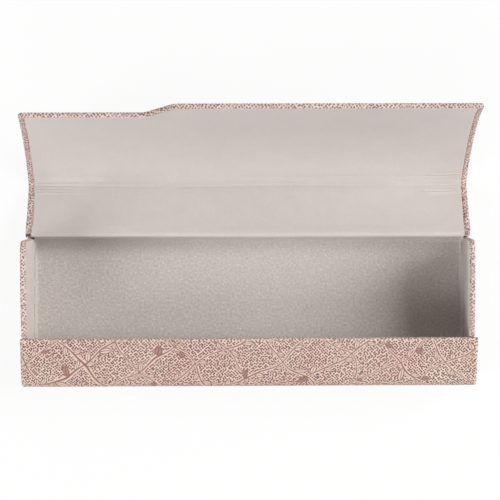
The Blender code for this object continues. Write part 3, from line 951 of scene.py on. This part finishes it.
# The outline in the section's plane: down the tray's walls and floor from the back, and back
# along the shut lid
lid_end = LID_LENGTH - FRONT_OVERLAP - FRONT_STOP
lid_reaches = bend_reaches(on_shut_lid, END_ON_LID, lid_end, END_SPACING)
tray_reaches = bend_reaches(on_tray, END_ON_TRAY[0], TRAY_LENGTH - END_ON_TRAY[1], END_SPACING)
outline = np.concatenate([on_tray(0.0, tray_reaches, -END_IN_WALLS)[:, 1:],
                          on_shut_lid(0.0, lid_reaches, -END_UNDER_LID)[::-1, 1:]])


def loop_area(loop):
    """The area of a closed loop, positive where it runs anticlockwise: half a sum of products."""
    ahead = np.roll(loop, -1, axis=0)
    return np.sum(loop[:, 0] * ahead[:, 1] - ahead[:, 0] * loop[:, 1]) / 2


def moved_in(loop, inset):
    """A closed loop moved in along its normals, which point away from its area."""
    return loop - loop_normals(loop) * np.sign(loop_area(loop)) * inset


def end_rings(side, insets, depths):
    """Points and faces of rings of the end's outline, each moved in and laid at a depth.

    One flat face closes the first ring. The whole leans a little, as the real ends do.
    """
    yz = np.concatenate([moved_in(outline, inset) for inset in insets])
    x = side * (END_FACE_X - np.repeat(depths, len(outline)))
    x += np.interp(yz[:, 1], LEAN_HEIGHTS, LEANS[side])
    yz[:, 0] += np.interp(yz[:, 1], LEAN_BACK_HEIGHTS, (0.0, LEAN_BACK))
    number = np.arange(len(yz)).reshape(len(insets), -1)
    faces = [ring_faces(a, b) for a, b in zip(number, number[1:])]
    return np.column_stack([x, yz]), np.concatenate(faces).tolist() + [number[0][::-1].tolist()]


def end_sheet(name, side, insets, depths, material, thickness, outer, **marks):
    """A sheet on an end piece. On the flat cloth its rings lie outside one another.

    A mark is given for each ring.
    """
    points, faces = end_rings(side, insets, depths)
    spread = [moved_in(outline, insets[0] - length) for length in travelled(insets, depths)]
    if (side * loop_area(outline) > 0) == outer:
        faces = [face[::-1] for face in faces]
    flat = np.concatenate(spread) + (ON_CLOTH[0] * side, ON_CLOTH[1])
    marks = {mark: np.repeat(values, len(outline)) for mark, values in marks.items()}
    piece = cloth_piece(name, points, faces, flat, material, thickness, **marks)
    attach(piece, "tray")
    return piece


# The wraps and the linings: the right end's lining has painted shade, darker all over, and painted
# light, paler towards its top
inset, depth = rim_profile(END_THICKNESS, END_ROUNDING, END_TURN_IN + TUCKED)
rim_fold = (inset < END_ROUNDING) | (depth > 0)
turned = np.linspace(math.pi / 2, 0, 6)
lining_inset = END_TURN_IN + np.append(END_LINING_FLAT, END_LINING_ROUNDING * (1 - np.cos(turned)))
lining_depth = (END_THICKNESS + END_LINING_PROUD
                - np.append(0.0, END_LINING_ROUNDING * (1 - np.sin(turned))))
# Painted highlight: the linings' rounded edges paler
cut_edge = np.append(0.0, np.cos(turned))
# Painted shade on the right end's lining, with painted light towards its top
shaded_end_suede = suede("end_suede", SHADED_END_SUEDE, **SMOOTH_NAP, painted_top_light=PAINTED_TOP_LIGHT)
for side, word, end_suede in ((-1, "left", lid_suede), (1, "right", shaded_end_suede)):
    piece = end_sheet("end_wrap_" + word, side, inset, depth, cloth_material, COVER, True,
                      fold=rim_fold)
    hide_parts("end_cover_" + word)
    piece = end_sheet("end_suede_" + word, side, lining_inset, lining_depth, end_suede, LINING,
                      False, rubbed=cut_edge)
    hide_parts("end_lining_" + word)

# The cards inside them
grey_card = mottled_material("grey_card", CARD, (160.0, 2200.0), 0.5, (0.75, 0.2), 0.00005,
                             Specular_IOR_Level=0.2)
for side, word in ((-1, "left"), (1, "right")):
    points, faces = end_rings(side, (CARD_INSET, CARD_INSET),
                              (CARD_DEPTH, END_THICKNESS - CARD_DEPTH))
    faces.append(list(range(len(outline), 2 * len(outline))))
    if side * loop_area(outline) > 0:
        faces = [face[::-1] for face in faces]
    piece = cloth_piece("end_card_" + word, points, faces, points[:, 1:], grey_card, 0.0)
    piece.data.shade_flat()
    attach(piece, "tray")
    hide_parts("end_board_" + word)


# The floor and the backdrop are white paper. One wide soft lamp stands on the right, a weaker
# one at the left in front, one in front and a faint one behind, all a step above the table.
PAPER = (0.92, 0.92, 0.92, 1.0)
FLOOR_HALF = 4.0
SHADOW_SHARE = 0.10
SKY = 0.155
SKY_LIGHT = (1.0, 0.92, 0.84, 1.0)
LAMP_DISTANCE = 1.5

mesh = bpy.data.meshes.new("floor")
corner_x, corner_y = np.meshgrid(*[np.linspace(-FLOOR_HALF, FLOOR_HALF, 5)] * 2)
mesh.from_pydata(np.stack([corner_x, corner_y, 0 * corner_x], axis=-1).reshape(-1, 3).tolist(), [],
                 grid_faces(5, 5).tolist())
floor = bpy.data.objects.new("floor", mesh)
bpy.context.scene.collection.objects.link(floor)
paper, graph, shader = new_material("floor_paper", Base_Color=PAPER, Roughness=0.9)
mesh.materials.append(paper)


def seen_share(graph, share):
    """A share where the camera, a mirror or a window looks on, and 0 for light that bounces."""
    rays = graph.node("ShaderNodeLightPath").outputs
    seen = graph.math("MAXIMUM", rays["Is Camera Ray"], rays["Is Glossy Ray"])
    return graph.times(graph.math("MAXIMUM", seen, rays["Is Transmission Ray"]), share)


# The floor is seen as pure white, apart from a share that takes light and shadow as paper does
white = graph.node("ShaderNodeEmission", {"Strength": 1.0})
surface = graph.node("ShaderNodeMixShader", {0: seen_share(graph, 1 - SHADOW_SHARE),
                                             1: shader.outputs[0], 2: white.outputs[0]})
graph.tree.links.new(surface.outputs[0], graph.tree.nodes["Material Output"].inputs["Surface"])

# The sky is white where it is seen, and a weak warm light on everything else
world = bpy.data.worlds.new("studio")
world.use_nodes = True
graph = Graph(world.node_tree)
background = world.node_tree.nodes["Background"].inputs
seen = seen_share(graph, 1.0)
graph.tree.links.new(graph.mix(seen, SKY_LIGHT, (1.0, 1.0, 1.0, 1.0)), background["Color"])
graph.tree.links.new(graph.times_plus(seen, 1 - SKY, SKY), background["Strength"])
bpy.context.scene.world = world


def soft_lamp(name, azimuth, elevation, width, power):
    """A square lamp turned towards the case. Angles are in degrees, the first from +X."""
    round_z, up = math.radians(azimuth), math.radians(elevation)
    lamp = bpy.data.lights.new(name, "AREA")
    lamp.size = width
    lamp.energy = power
    holder = bpy.data.objects.new(name, lamp)
    holder.location = (LAMP_DISTANCE * math.cos(up) * math.cos(round_z),
                       LAMP_DISTANCE * math.cos(up) * math.sin(round_z),
                       LAMP_DISTANCE * math.sin(up))
    holder.rotation_euler = (math.pi / 2 - up, 0.0, round_z + math.pi / 2)
    bpy.context.scene.collection.objects.link(holder)


soft_lamp("key", 13, 40, 0.95, 19.8)
soft_lamp("left_fill", 210, 35, 0.6, 9.6)
soft_lamp("front_fill", 270, 35, 0.6, 4.4)
soft_lamp("back_fill", 110, 30, 0.6, 1.5)

camera = bpy.data.objects.new("camera", bpy.data.cameras.new("camera"))
camera.location = (-0.01156, -0.01032, 0.700)
camera.rotation_euler = (0.04636, -0.01749, -0.00391)
camera.data.lens = 134.0
camera.data.sensor_width = 36.0
camera.data.clip_start = 0.01
bpy.context.scene.collection.objects.link(camera)
bpy.context.scene.camera = camera
bpy.context.scene.view_settings.view_transform = "Standard"
